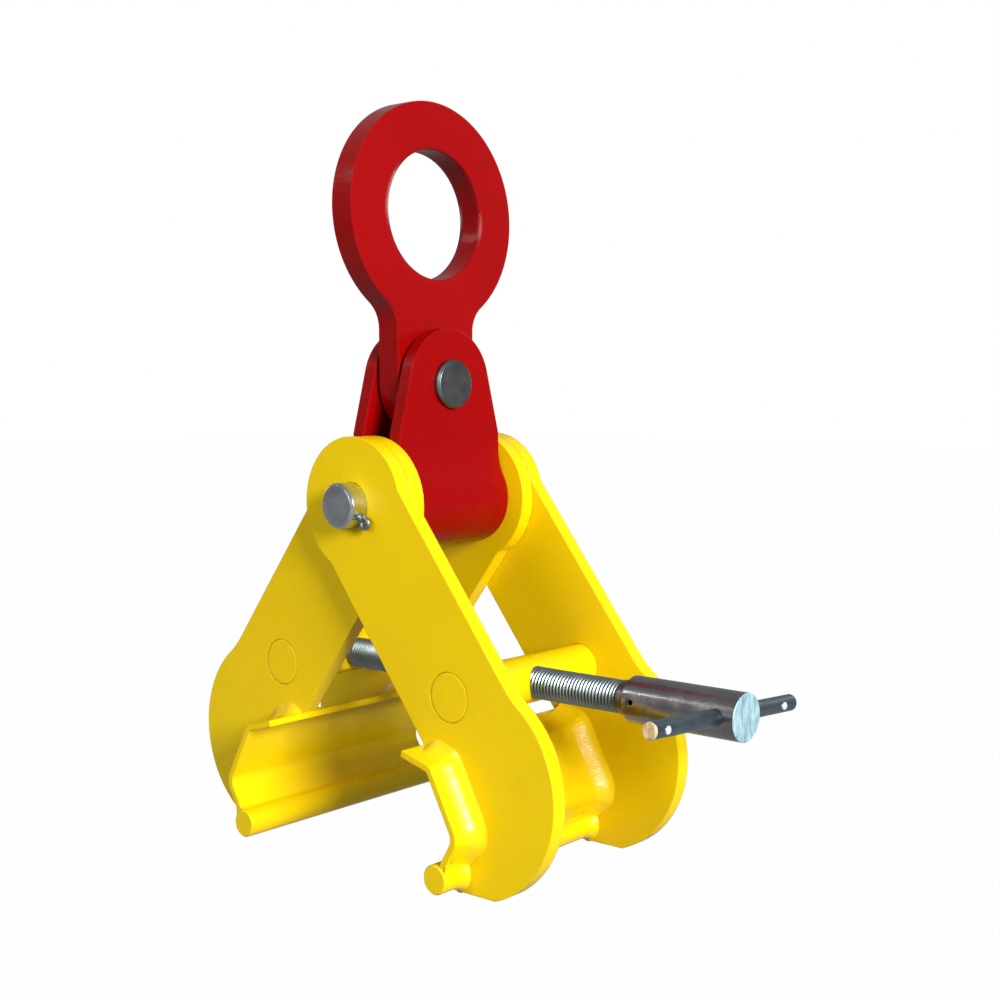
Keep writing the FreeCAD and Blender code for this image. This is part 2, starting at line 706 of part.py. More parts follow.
def plate_outline(side):
    """The jaw plate: head, straight arm, round heel, and an inner edge cut to channel and bar."""
    lip, root, vertex, end, rod = channel_path()
    down = arm_direction()
    out = arm_outward()
    half = size["arm_half_width"]
    head = size["head_radius"]
    corner = size["head_corner_radius"]
    middle = Vector(0, 0, 0)
    step = math.sqrt(max(0.0, (head + corner) ** 2 - (half + corner) ** 2))
    inner_corner = down * step - out * (half + corner)
    outer_corner = down * step + out * (half + corner)
    touch = head / (head + corner)

    heel = in_arm(size["foot_along"], -size["foot_across"])
    heel_radius = size["foot_radius"]
    hollow = size["foot_hollow_radius"]
    hollow_centre = round_meets_line(heel, heel_radius + hollow, middle, down, half + hollow)
    onto_heel = heel + toward(heel, hollow_centre) * heel_radius
    flank_end = hollow_centre - out * hollow

    bar = size["rod_radius"]
    foot_y = rod.y - bar - size["foot_drop"]
    heel_end = Vector(heel.x + math.sqrt(max(0.0, heel_radius ** 2 - (heel.y - foot_y) ** 2)), foot_y, 0)
    tail_x = rod.x - size["foot_tail"]
    tail_top = Vector(tail_x, rod.y - math.sqrt(bar ** 2 - size["foot_tail"] ** 2), 0)
    offset = size["channel_thickness"] / 2
    last_run = toward(vertex, rod)
    bar_touch = end - last_run * math.sqrt(bar ** 2 - offset ** 2)

    lip_way = toward(root, lip)
    along_lip = (-half - root.dot(out)) / lip_way.dot(out)
    lip_meets_flank = root + lip_way * along_lip

    outline = Outline(inner_corner * touch, side)
    outline.arc(middle, outer_corner * touch, -1)
    outline.arc(outer_corner, outer_corner - out * corner, 1)
    outline.line(flank_end)
    outline.arc(hollow_centre, onto_heel, 1)
    outline.arc(heel, heel_end, -1)
    outline.line(Vector(tail_x, foot_y, 0))
    outline.line(tail_top)
    outline.arc(rod, bar_touch, 1)
    channel_runs(outline, [lip_meets_flank, root, vertex, bar_touch], 0.0, backward=True)
    outline.line(inner_corner + out * corner)
    outline.arc(inner_corner, inner_corner * touch, 1)
    return outline.close()


def jaw_plate(label, side, front):
    inside = "boss_length / 2 + side_clearance"
    if side > 0:
        inside += " + plate_thickness + side_clearance"
    body = new_body(label)
    at = bound(inside) if front else bound("-(" + inside + ")")
    sketch = new_sketch(body, "outline", "XZ_Plane", plate_outline(side), at)
    add_circle(sketch, "0", "0", "main_pin_radius + pin_clearance")
    centre = Vector(side * trunnion_at.x, trunnion_at.y, 0)
    bore = size["trunnion_radius"] + size["trunnion_clearance"]
    sketch.addGeometry(Part.Circle(centre, Vector(0, 0, 1), bore), False)
    place = sketch.addConstraint(Sketcher.Constraint("Radius", sketch.GeometryCount - 1, bore))
    sketch.setExpression("Constraints[%d]" % place, bound("trunnion_radius + trunnion_clearance"))
    add_pad(body, sketch, "plate_thickness", backward=not front)
    move(body, z=pivot_z)
    return body


# A weld's cross-section: its height and its width, as shares of its rise and its leg
WELD_STEPS = [(0.0, 1.0), (0.62, 0.62), (1.0, 0.08)]


def channel_weld_section(side, leg):
    """The weld's outline on a plane beside a plate, leg wide, drawn along the channel."""
    lip, root, vertex, end, rod = channel_path()
    start = lip + toward(lip, root) * size["jaw_weld_inset"]
    last = end - toward(vertex, rod) * (size["rod_radius"] + size["jaw_weld_end_gap"])
    near = [start, root, vertex, last]
    far = offset_path(near, leg)
    outline = Outline(start, side)
    channel_runs(outline, near, 0.0)
    outline.line(far[-1])
    channel_runs(outline, far, leg, backward=True)
    return outline.close()


def stand_up(parts, y):
    """A wire in the plane of the given y from plane geometry of x and height."""
    lifted = Part.Wire([part.toShape() for part in parts])
    lifted.Placement = FreeCAD.Placement(Vector(0, y, pivot_z), FreeCAD.Rotation(Vector(1, 0, 0), 90))
    return lifted


def channel_weld(side, face, out):
    """A weld in the corner between a plate's face and the outer side of the channel."""
    leg = size["jaw_weld_leg"]
    rise = size["jaw_weld_rise"]
    wires = [stand_up(channel_weld_section(side, leg * width), face + out * rise * height)
             for height, width in WELD_STEPS]
    return Part.makeLoft(wires, True, True)


def rod_weld(side, face, out):
    """A weld round the far side of the bar, from the channel to the plate's tail."""
    lip, root, vertex, end, rod = channel_path()
    leg = size["rod_weld_leg"]
    rise = size["rod_weld_rise"]
    bar = size["rod_radius"]
    run = toward(rod, vertex)
    start = math.degrees(math.atan2(run.y, run.x)) - size["rod_weld_start"]
    corners = [Vector(bar, face, 0)]
    corners += [Vector(bar + leg * width, face + out * rise * height, 0) for height, width in WELD_STEPS]
    corners += [Vector(bar, face + out * rise, 0), corners[0]]
    weld = Part.Face(Part.makePolygon(corners))
    weld = weld.revolve(Vector(0, 0, 0), Vector(0, 1, 0), size["rod_weld_sweep"])
    weld.rotate(Vector(0, 0, 0), Vector(0, 1, 0), -start)
    weld.translate(Vector(rod.x, 0, rod.y + pivot_z))
    return weld if side > 0 else weld.mirror(Vector(0, 0, 0), Vector(1, 0, 0))


def jaw_welds(label, side):
    if side > 0:
        faces = (right_plate_inside, right_plate_outside)
    else:
        faces = (left_plate_inside, left_plate_outside)
    solids = []
    for end in (-1, 1):
        for place, away in ((faces[0], -1), (faces[1], 1)):
            long_weld = channel_weld(side, end * place, end * away)
            weld = long_weld.fuse(rod_weld(side, end * place, end * away))
            solids += weld.removeSplitter().Solids
    return group(label, solids)


def jaw(name, side):
    return [
        jaw_plate(name + "_plate_front", side, True),
        jaw_plate(name + "_plate_rear", side, False),
        jaw_channel(name + "_jaw_channel", side),
        jaw_rod(name + "_jaw_rod", side),
        jaw_welds(name + "_jaw_welds", side),
    ]


# Cross bars: each turns in its jaw's plates, and the screw passes through it
def trunnion(label, side, half_length, bore):
    body = new_body(label)
    sketch = new_sketch(body, "outline", "XZ_Plane", [])
    add_circle(sketch, "0", "0", "trunnion_radius")
    add_pad(body, sketch, "2 * (" + half_length + ")", symmetric=True)
    hole = new_sketch(body, "hole", "YZ_Plane", [])
    add_circle(hole, "0", "0", bore)
    add_cut(body, hole, "hole_cut")
    reach = number(half_length)
    add_chamfer(body, 1, (-reach, reach), "trunnion_chamfer")
    move(body, x=side * trunnion_at.x, z=screw_z)
    return body


def spot_faced(body):
    """Takes a flat seat off both sides of the left cross bar, where washer and shoulder run."""
    for name, way in (("handle_side", False), ("nut_side", True)):
        at = "journal_flat" if not way else "-journal_flat"
        sketch = new_sketch(body, name, "YZ_Plane", [], bound(at))
        add_circle(sketch, "0", "0", "spot_face_radius")
        before = solid_of(body).Volume
        cut = body.newObject("PartDesign::Pocket", body.Name + "_" + name + "_cut")
        cut.Profile = sketch
        cut.setExpression("Length", "Sizes.trunnion_radius")
        cut.Reversed = not way
        if solid_of(body).Volume >= before:
            sys.exit("a spot face took nothing away")


# Screw, its end fastening, the handle sleeve and the tommy bar
def spindle():
    body = new_body("spindle")
    left = -trunnion_at.x
    shoulder = left + size["journal_flat"] + size["journal_play"]
    nut_end = left - size["journal_flat"] - size["journal_play"] - size["screw_washer_thickness"]
    nut_end -= size["nut_length"] + size["nut_collar_length"]
    tip = nut_end - size["journal_tail"]
    seat = sleeve_start + size["sleeve_bore_depth"] - size["screw_seat_gap"]
    screw = size["screw_radius"]
    journal = size["journal_radius"]
    relief = size["screw_chamfer"]
    collar = sleeve_start - size["neck_length"]
    corners = [
        (tip, 0), (tip, journal - relief), (tip + relief, journal), (shoulder, journal),
        (shoulder, screw - relief), (shoulder + relief, screw), (collar, screw),
        (collar, size["neck_radius"]), (sleeve_start, size["neck_radius"]), (sleeve_start, screw),
        (seat, screw), (seat, 0),
    ]
    outline = Outline(Vector(corners[0][0], corners[0][1], 0))
    for x, radius in corners[1:]:
        outline.line(Vector(x, radius, 0))
    sketch = new_sketch(body, "profile", "XZ_Plane", outline.close())
    add_turned(body, sketch, "X_Axis")
    hole = new_sketch(body, "pin_hole", "XZ_Plane", [Part.Circle(
        Vector(sleeve_start + size["sleeve_pin_place"], 0, 0), Vector(0, 0, 1), size["sleeve_pin_radius"])])
    add_cut(body, hole)
    move(body, z=screw_z, turn=-size["screw_turn"])
    return body


def washer_face_x():
    return -trunnion_at.x - size["journal_flat"] - size["journal_play"]


def spindle_washer():
    return ring("spindle_washer", "YZ_Plane", "screw_washer_radius", "journal_radius",
                "screw_washer_thickness", "-screw_washer_thickness", x=washer_face_x(), z=screw_z)


def spindle_lock_nut():
    corner = size["nut_width"] / math.sqrt(3)
    length = size["nut_length"]
    turns = [math.radians(60 * turn) for turn in range(7)]
    points = [Vector(0, corner * math.cos(turn), corner * math.sin(turn)) for turn in turns]
    hexagon = Part.Face(Part.makePolygon(points)).extrude(Vector(-length, 0, 0))
    flare = length * math.tan(math.radians(size["nut_chamfer_angle"]))
    chamfered = Part.makeCone(size["nut_width"] / 2, size["nut_width"] / 2 + flare, length,
                              Vector(-length, 0, 0), Vector(1, 0, 0))
    collar = Part.makeCylinder(size["nut_collar_radius"], size["nut_collar_length"],
                               Vector(-length - size["nut_collar_length"], 0, 0), Vector(1, 0, 0))
    hole = Part.makeCylinder(size["journal_radius"], 3 * length, Vector(-2 * length, 0, 0),
                             Vector(1, 0, 0))
    nut = hexagon.common(chamfered).fuse(collar).cut(hole).removeSplitter()
    nut.translate(Vector(washer_face_x() - size["screw_washer_thickness"], 0, screw_z))
    return group("spindle_lock_nut", nut.Solids)


def handle_sleeve():
    body = new_body("handle_sleeve")
    sketch = new_sketch(body, "profile", "XZ_Plane", [])
    add_profile(sketch, [
        ("0", "screw_radius"),
        ("0", "sleeve_radius - sleeve_chamfer"),
        ("sleeve_chamfer", "sleeve_radius"),
        ("sleeve_length - sleeve_end_chamfer", "sleeve_radius"),
        ("sleeve_length", "sleeve_radius - sleeve_end_chamfer"),
        ("sleeve_length", "0"),
        ("sleeve_bore_depth", "0"),
        ("sleeve_bore_depth", "screw_radius"),
    ])
    add_turned(body, sketch, "X_Axis")
    holes = new_sketch(body, "cross_holes", "XZ_Plane", [])
    add_circle(holes, "sleeve_length - bar_place", "0", "bar_radius + pin_clearance")
    add_circle(holes, "sleeve_pin_place", "0", "sleeve_pin_radius")
    add_cut(body, holes)
    move(body, x=sleeve_start, z=screw_z, turn=-size["screw_turn"])
    return body


def turned_with_screw(shape):
    """The shape, drawn for a level tommy bar, as the screw rests."""
    shape.rotate(Vector(0, 0, screw_z), Vector(1, 0, 0), -size["screw_turn"])
    return shape


def sleeve_pin():
    half = size["sleeve_radius"] - size["sleeve_pin_inset"]
    inner = size["sleeve_pin_radius"] - size["sleeve_pin_wall"]
    start = Vector(sleeve_start + size["sleeve_pin_place"], -half, screw_z)
    along = Vector(0, 1, 0)
    tube = Part.makeCylinder(size["sleeve_pin_radius"], 2 * half, start, along)
    tube = tube.cut(Part.makeCylinder(inner, 2 * half, start, along))
    gap = size["sleeve_pin_slot"]
    slot = Part.makeBox(2 * size["sleeve_pin_radius"], 2 * half, gap, start - Vector(0, 0, gap / 2))
    return group("sleeve_pin", [turned_with_screw(tube.cut(slot))])


def tommy_bar():
    body = new_body("tommy_bar")
    sketch = new_sketch(body, "profile", "YZ_Plane", [])
    add_profile(sketch, [
        ("-bar_front", "0"),
        ("-bar_front", "bar_radius - bar_chamfer"),
        ("bar_chamfer - bar_front", "bar_radius"),
        ("bar_back - bar_chamfer", "bar_radius"),
        ("bar_back", "bar_radius - bar_chamfer"),
        ("bar_back", "0"),
    ])
    add_turned(body, sketch, "Y_Axis")
    holes = new_sketch(body, "stop_holes", "YZ_Plane", [])
    add_circle(holes, "stop_front_place - bar_front", "0", "stop_radius")
    add_circle(holes, "bar_back - stop_back_place", "0", "stop_radius")
    add_cut(body, holes)
    move(body, x=bar_x, z=screw_z, turn=-size["screw_turn"])
    return body


def tommy_bar_stops():
    half = size["stop_length"] / 2
    front = size["stop_front_place"] - size["bar_front"]
    back = size["bar_back"] - size["stop_back_place"]
    stops = []
    for y in (front, back):
        start = Vector(bar_x - half, y, screw_z)
        stop = Part.makeCylinder(size["stop_radius"], 2 * half, start, Vector(1, 0, 0))
        stops.append(turned_with_screw(stop))
    return group("tommy_bar_stops", stops)


sub_parts = [
    lifting_eye(),
    clevis_boss(),
    clevis_ear("clevis_front_ear", 1),
    clevis_ear("clevis_rear_ear", -1),
    clevis_welds(),
    eye_pin(),
    ring("eye_pin_washer", "YZ_Plane", "eye_pin_washer_radius", "eye_pin_radius",
         "eye_pin_washer_thickness", "-eye_pin_washer_thickness", x=-ear_outside, z=eye_pin_z),
    eye_pin_split_pin(),
    main_pin(),
    main_pin_split_pin(),
]
sub_parts += jaw("right", 1)
sub_parts += jaw("left", -1)
sub_parts.append(trunnion("right_trunnion", 1,
                          "boss_length / 2 + 2 * side_clearance + 2 * plate_thickness",
                          "screw_radius + screw_clearance"))
left_bar = trunnion("left_trunnion", -1, "boss_length / 2 + side_clearance + plate_thickness",
                    "journal_radius + pin_clearance")
spot_faced(left_bar)
sub_parts += [
    left_bar, spindle(), spindle_washer(), spindle_lock_nut(), handle_sleeve(), sleeve_pin(),
    tommy_bar(), tommy_bar_stops(),
]
doc.recompute()

for item in doc.Objects:
    if "Invalid" in item.State or "Error" in item.State:
        sys.exit("%s did not build: %s" % (item.Label, item.State))
for part in sub_parts:
    if part.Shape.isNull() or not part.Shape.isValid() or not part.Shape.Solids:
        sys.exit("%s has no valid solid" % part.Label)

os.makedirs("parts", exist_ok=True)
for part in sub_parts:
    part.Shape.exportStep("parts/" + part.Label + ".step")
    print("%-22s %2d solids %9.0f mm3" % (part.Label, len(part.Shape.Solids), part.Shape.Volume))
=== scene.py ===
import math

import bmesh
import bpy
import numpy as np
from mathutils import Matrix, Vector


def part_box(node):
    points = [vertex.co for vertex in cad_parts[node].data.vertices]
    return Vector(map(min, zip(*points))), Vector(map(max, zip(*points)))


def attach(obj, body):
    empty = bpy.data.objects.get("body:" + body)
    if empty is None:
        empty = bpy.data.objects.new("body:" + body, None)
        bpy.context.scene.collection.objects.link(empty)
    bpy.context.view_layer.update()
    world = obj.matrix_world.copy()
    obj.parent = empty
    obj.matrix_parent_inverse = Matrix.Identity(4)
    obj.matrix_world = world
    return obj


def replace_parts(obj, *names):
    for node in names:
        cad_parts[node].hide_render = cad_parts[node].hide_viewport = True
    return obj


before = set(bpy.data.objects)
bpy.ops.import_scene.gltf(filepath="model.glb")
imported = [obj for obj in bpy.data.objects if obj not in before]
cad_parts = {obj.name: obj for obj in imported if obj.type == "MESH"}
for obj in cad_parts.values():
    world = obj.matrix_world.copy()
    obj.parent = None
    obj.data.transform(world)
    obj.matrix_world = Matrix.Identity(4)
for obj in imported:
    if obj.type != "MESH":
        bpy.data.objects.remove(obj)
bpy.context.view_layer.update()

MM = 0.001

# Sizes that the drawn pieces share with the solids. A place in an arm is its distance down the arm from the
# main pin, and its distance outwards from the arm's middle line.
PIVOT_Z = -181.0 * MM
ARM_TILT = math.radians(38.0)
LIP_ROOT_IN_ARM = (166.85 * MM, -24.4 * MM)
CHANNEL_BEND_IN_ARM = (212.3 * MM, -32.0 * MM)
BAR_IN_ARM = (221.4 * MM, -62.1 * MM)
LIP_LENGTH = 23.8 * MM
LIP_TILT = math.radians(37.0)
ROOT_BEND_RADIUS = 6.0 * MM
CHANNEL_BEND_RADIUS = 12.0 * MM
CHANNEL_THICKNESS = 4.0 * MM
BAR_RADIUS = 9.0 * MM
THREAD_PITCH = 2.5 * MM
THREAD_RADIUS = 10.0 * MM
TOMMY_BAR_TURN = math.radians(4.0)
STOP_PLACES = {"front": -65.1 * MM, "back": 52.1 * MM}


# Meshes from grids of points

def new_piece(name, points, faces, body, material, crease=32.0):
    """A closed piece from vertices and faces: open ends are filled and normals turned outwards."""
    mesh = bpy.data.meshes.new(name)
    mesh.from_pydata([tuple(point) for point in points], [], faces)
    shell = bmesh.new()
    shell.from_mesh(mesh)
    bmesh.ops.remove_doubles(shell, verts=shell.verts, dist=1e-7)
    open_edges = [edge for edge in shell.edges if edge.is_boundary]
    if open_edges:
        bmesh.ops.holes_fill(shell, edges=open_edges)
    bmesh.ops.recalc_face_normals(shell, faces=shell.faces)
    shell.to_mesh(mesh)
    shell.free()
    mesh.shade_smooth()
    mesh.set_sharp_from_angle(angle=math.radians(crease))
    piece = bpy.data.objects.new(name, mesh)
    bpy.context.scene.collection.objects.link(piece)
    mesh.materials.append(material)
    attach(piece, body)
    return piece


def grid_faces(rows, columns, wrap):
    """Quads of a grid of rows by columns, whose last column joins the first when it wraps."""
    row, column = np.meshgrid(np.arange(rows - 1), np.arange(columns if wrap else columns - 1), indexing="ij")
    here = row * columns
    below = here + columns
    after = (column + 1) % columns
    corners = [here + column, here + after, below + after, below + column]
    return np.stack(corners, -1).reshape(-1, 4).tolist()


def lathe(name, profile, centre, body, material, steps=72):
    """A solid turned about a line along X from its profile's corners, each a distance and a radius.

    A corner at distance s and radius r becomes centre + (s, r * cos a, r * sin a), a round a full circle.
    """
    turn = np.linspace(0, 2 * math.pi, steps, endpoint=False)
    ring = np.stack([np.zeros(steps), np.cos(turn), np.sin(turn)], -1)
    corners = np.array(profile, float)
    along = corners[:, 0, None, None] * np.array((1.0, 0.0, 0.0))
    points = np.array(centre) + along + corners[:, 1, None, None] * ring
    return new_piece(name, points.reshape(-1, 3), grid_faces(len(corners), steps, True), body, material)


# Materials

def add_node(tree, kind, inputs=None, **settings):
    """A node with its settings made, and each input linked to a socket or set to a value."""
    node = tree.nodes.new(kind)
    for key, value in settings.items():
        setattr(node, key, value)
    for key, value in (inputs or {}).items():
        if isinstance(value, bpy.types.NodeSocket):
            tree.links.new(value, node.inputs[key])
        else:
            node.inputs[key].default_value = value
    return node


def add_maths(tree, operation, first, second=0.0):
    return add_node(tree, "ShaderNodeMath", {0: first, 1: second}, operation=operation).outputs[0]


class Nodes:
    """A material's node tree, with short calls to add and join nodes. Patterns lie on Object coordinates."""

    def __init__(self, name, colour, roughness, metallic=0.0):
        self.material = bpy.data.materials.new(name)
        self.material.use_nodes = True
        self.tree = self.material.node_tree
        self.shader = self.tree.nodes["Principled BSDF"]
        self.set("Base Color", (*colour, 1.0))
        self.set("Roughness", roughness)
        self.set("Metallic", metallic)
        self.place = self.add("ShaderNodeTexCoord").outputs["Object"]
        self.flat = self.add("ShaderNodeNewGeometry").outputs["Normal"]

    def set(self, socket, value):
        self.shader.inputs[socket].default_value = value

    def join(self, output, socket):
        self.tree.links.new(output, self.shader.inputs[socket])

    def add(self, kind, inputs=None, **settings):
        return add_node(self.tree, kind, inputs, **settings)

    def noise(self, scale, detail=3.0, stretch=None, roughness=0.5):
        place = self.place
        if stretch:
            place = self.add("ShaderNodeMapping", {"Vector": self.place, "Scale": stretch}).outputs[0]
        inputs = {"Vector": place, "Scale": scale, "Detail": detail, "Roughness": roughness}
        return self.add("ShaderNodeTexNoise", inputs).outputs[0]

    def ramp(self, value, low, high, start=0.0, end=1.0):
        inputs = {"Value": value, "From Min": low, "From Max": high, "To Min": start, "To Max": end}
        return self.add("ShaderNodeMapRange", inputs).outputs[0]

    def blend(self, factor, first, second):
        return self.add("ShaderNodeMix", {0: factor, 6: first, 7: second}, data_type="RGBA").outputs[2]

    def blend_vectors(self, factor, first, second):
        return self.add("ShaderNodeMix", {0: factor, 4: first, 5: second}, data_type="VECTOR").outputs[1]

    def maths(self, operation, first, second=0.0):
        return add_maths(self.tree, operation, first, second)

    def vectors(self, operation, first, second=(0.0, 0.0, 0.0)):
        return self.add("ShaderNodeVectorMath", {0: first, 1: second}, operation=operation).outputs

    def part(self, vector, axis):
        return self.add("ShaderNodeSeparateXYZ", {"Vector": vector}).outputs[axis]

    def rounding(self, radius):
        return self.add("ShaderNodeBevel", {"Radius": radius}, samples=6).outputs[0]

    def bump(self, height, distance, strength, normal):
        inputs = {"Height": height, "Distance": distance, "Strength": strength}
        if normal is not None:
            inputs["Normal"] = normal
        return self.add("ShaderNodeBump", inputs).outputs[0]


def opaque(colour, share=1.0):
    """A colour, or a share of it, with full alpha."""
    return (*[share * value for value in colour], 1.0)


def paint(name, colours, cut_axis, roughness=0.22, rounded=0.9 * MM, grain=0.0, gloss_level=0.17, hole=None):
    """Gloss enamel on cut steel plate: slow colour drift, faint orange peel, and streaked cut edges.

    colours are the plain, the deepest and the worn one. The worn one is lighter: its specks on rounded edges
    are partly worn paint and partly a painted edge highlight. cut_axis is the axis along a plate's thickness,
    along which the cut's streaks run. rounded is the radius that softens the edges of solids that have no
    chamfers of their own, and grain roughens a weld. hole is the reach round the X axis inside which an edge
    is rounded, as in an eye that hooks have worn, and everywhere where it isn't given.
    """
    colour, deep, lit = colours
    nodes = Nodes(name, colour, roughness)
    nodes.set("Specular IOR Level", gloss_level)
    drift = nodes.ramp(nodes.noise(9.0, 4.0), 0.3, 0.7)
    base = nodes.blend(drift, opaque(deep), opaque(colour))

    # Rounded edges: specks of the lighter worn colour, partly worn paint and partly a painted highlight
    corner = nodes.flat
    if rounded:
        corner = nodes.rounding(rounded)
        on_corner = nodes.ramp(nodes.vectors("DOT_PRODUCT", corner, nodes.flat)["Value"], 0.995, 0.9)
        specks = nodes.ramp(nodes.noise(160.0, 4.0), 0.52, 0.66)
        wear_and_edge_highlight = nodes.maths("MULTIPLY", specks, 0.1 if hole else 0.5)
        base = nodes.blend(nodes.maths("MULTIPLY", on_corner, wear_and_edge_highlight), base, opaque(lit))
    if hole:
        across = nodes.vectors("MULTIPLY", nodes.place, (0.0, 1.0, 1.0))[0]
        inside = nodes.ramp(nodes.vectors("LENGTH", across)["Value"], hole - 3.0 * MM, hole, 1.0, 0.0)
        corner = nodes.blend_vectors(inside, nodes.flat, corner)

    # A little dirt, and gloss that varies from place to place
    grime = nodes.ramp(nodes.noise(34.0, 6.0, roughness=0.65), 0.62, 0.85, 0.0, 0.12)
    nodes.join(nodes.blend(grime, base, opaque(deep, 0.35)), "Base Color")
    gloss = nodes.ramp(nodes.noise(60.0, 3.0), 0.3, 0.7, roughness - 0.05, roughness + 0.09)
    nodes.join(gloss, "Roughness")

    # Orange peel, slow waves, the cut's streaks on edges that face off the cut axis, and a weld's grain
    peel = nodes.maths("MULTIPLY", nodes.noise(620.0, 2.0), 0.12)
    waves = nodes.maths("MULTIPLY", nodes.noise(70.0, 2.0), 0.5)
    stretch = [1.0, 1.0, 1.0]
    stretch[cut_axis] = 0.04
    on_cut = nodes.ramp(nodes.maths("ABSOLUTE", nodes.part(nodes.flat, cut_axis)), 0.5, 0.2)
    streaks = nodes.maths("MULTIPLY", nodes.noise(520.0, 2.0, stretch), on_cut)
    streaks = nodes.maths("MULTIPLY", streaks, 0.35)
    height = nodes.maths("ADD", nodes.maths("ADD", peel, waves), streaks)
    if grain:
        spatter = nodes.maths("MULTIPLY", nodes.noise(520.0, 5.0, roughness=0.6), grain)
        height = nodes.maths("ADD", height, spatter)
    nodes.join(nodes.bump(height, 0.35 * MM, 0.6, corner), "Normal")
    return nodes.material


def steel(name, colour, roughness, axis=None, drawn=False, tint=None, end=None, rounded=True):
    """Bare or plated steel: a metal with cloudy gloss, and lathe rings or drawn lines about an axis.

    tint is the colour of its clouds. end is the sense along the axis, the place past which, and the colour in
    which a sawn or machined end scatters the light; this colour is partly painted light, a painted reflection
    on the sleeve's end and a painted highlight on the stop pins' domes.
    """
    nodes = Nodes(name, colour, roughness, 1.0)
    clouds = nodes.ramp(nodes.noise(40.0, 3.0), 0.3, 0.7)
    base = nodes.blend(clouds, opaque(colour), opaque(tint) if tint else opaque(colour, 0.72))
    gloss = nodes.ramp(nodes.noise(120.0, 2.0), 0.3, 0.7, roughness - 0.05, roughness + 0.08)

    # A sawn or machined end, duller and scratched, painted partly with the light it catches
    if end:
        sense, past, end_and_painted_light = end
        facing = nodes.ramp(nodes.maths("MULTIPLY", nodes.part(nodes.flat, axis), sense), 0.3, 0.5)
        outwards = nodes.maths("MULTIPLY", nodes.part(nodes.place, axis), sense)
        outside = nodes.ramp(outwards, sense * past - 0.2 * MM, sense * past)
        on_end = nodes.maths("MULTIPLY", facing, outside)
        scratches = nodes.ramp(nodes.noise(420.0, 4.0, (1.0, 1.0, 0.25), 0.7), 0.35, 0.65)
        base = nodes.blend(on_end, base, nodes.blend(scratches, opaque(end_and_painted_light), opaque(end_and_painted_light, 0.45)))
        nodes.join(nodes.ramp(on_end, 0.0, 1.0, 1.0, 0.15), "Metallic")
        gloss = nodes.maths("MAXIMUM", gloss, nodes.maths("MULTIPLY", on_end, 0.5))
    nodes.join(base, "Base Color")
    nodes.join(gloss, "Roughness")

    # Grain, as tool marks that run round the axis, or along it on drawn stock
    corner = nodes.rounding(0.4 * MM) if rounded else None
    if axis is None:
        nodes.join(nodes.bump(nodes.noise(300.0, 2.0), 0.02 * MM, 0.3, corner), "Normal")
    else:
        stretch = [1.0 if drawn else 0.03] * 3
        stretch[axis] = 0.03 if drawn else 1.0
        nodes.join(nodes.bump(nodes.noise(700.0, 2.0, stretch), 0.006 * MM, 0.4, corner), "Normal")
    return nodes.material


# Finishes: enamels as plain, deepest and worn colours, the worn ones painting edge highlights too; steels by
# use

X_AXIS, Y_AXIS = 0, 1
YELLOW = (0.82, 0.565, 0.002), (0.78, 0.52, 0.002), (0.95, 0.72, 0.05)
RED = (0.27, 0.0014, 0.0018), (0.235, 0.0010, 0.0014), (0.45, 0.02, 0.02)
# The sleeve end's blue is partly a painted reflection; the stops' white +X domes are a painted highlight.
SLEEVE_END_AND_REFLECTION = (1.0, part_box("handle_sleeve")[1].x - 0.6 * MM, (0.36, 0.56, 0.62))
TOMMY_BAR_END = (-1.0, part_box("tommy_bar")[0].y + 1.2 * MM, (0.80, 0.60, 0.30))
STOP_PAINTED_HIGHLIGHT = (1.0, 0.0, (0.80, 0.86, 0.92))

yellow_plate = paint("yellow_enamel", YELLOW, Y_AXIS)
yellow_rim = paint("yellow_enamel_rim", YELLOW, Y_AXIS, rounded=2.2 * MM)
yellow_weld = paint("yellow_enamel_weld", YELLOW, Y_AXIS, 0.24, rounded=0, gloss_level=0.32)
rough_weld = paint("yellow_enamel_rough_weld", YELLOW, Y_AXIS, 0.15, rounded=0, grain=2.2, gloss_level=0.45)
red_plate = paint("red_enamel", RED, X_AXIS, rounded=0, gloss_level=0.11)
red_eye = paint("red_enamel_eye", RED, X_AXIS, 0.18, rounded=5.0 * MM, gloss_level=0.16, hole=52.0 * MM)
turned_pin = steel("turned_pin", (0.58, 0.63, 0.66), 0.28, Y_AXIS, tint=(0.34, 0.32, 0.37))
eye_pin_steel = steel("eye_pin_steel", (0.19, 0.19, 0.19), 0.34, X_AXIS)
sleeve_steel = steel("sleeve_steel", (0.30, 0.28, 0.28), 0.24, X_AXIS, True, (0.22, 0.21, 0.22), SLEEVE_END_AND_REFLECTION,
                     rounded=False)
bar_steel = steel("bar_steel", (0.19, 0.25, 0.28), 0.33, Y_AXIS, True, (0.13, 0.17, 0.21), TOMMY_BAR_END,
                  rounded=False)
# Stop pins in bright steel, whose +X domes are painted white as a highlight.
stop_steel_painted_highlight = steel("stop_steel_painted_highlight", (0.80, 0.84, 0.90), 0.30, X_AXIS, True, end=STOP_PAINTED_HIGHLIGHT)
zinc = steel("zinc_plate", (0.36, 0.43, 0.44), 0.32)
# The thread's zinc is a darker copy of zinc_plate: painted shade on the thread.
thread_zinc_painted_shade = steel("thread_zinc_painted_shade", (0.24, 0.29, 0.29), 0.38, rounded=False)
wire_steel = steel("wire_steel", (0.24, 0.26, 0.28), 0.38)

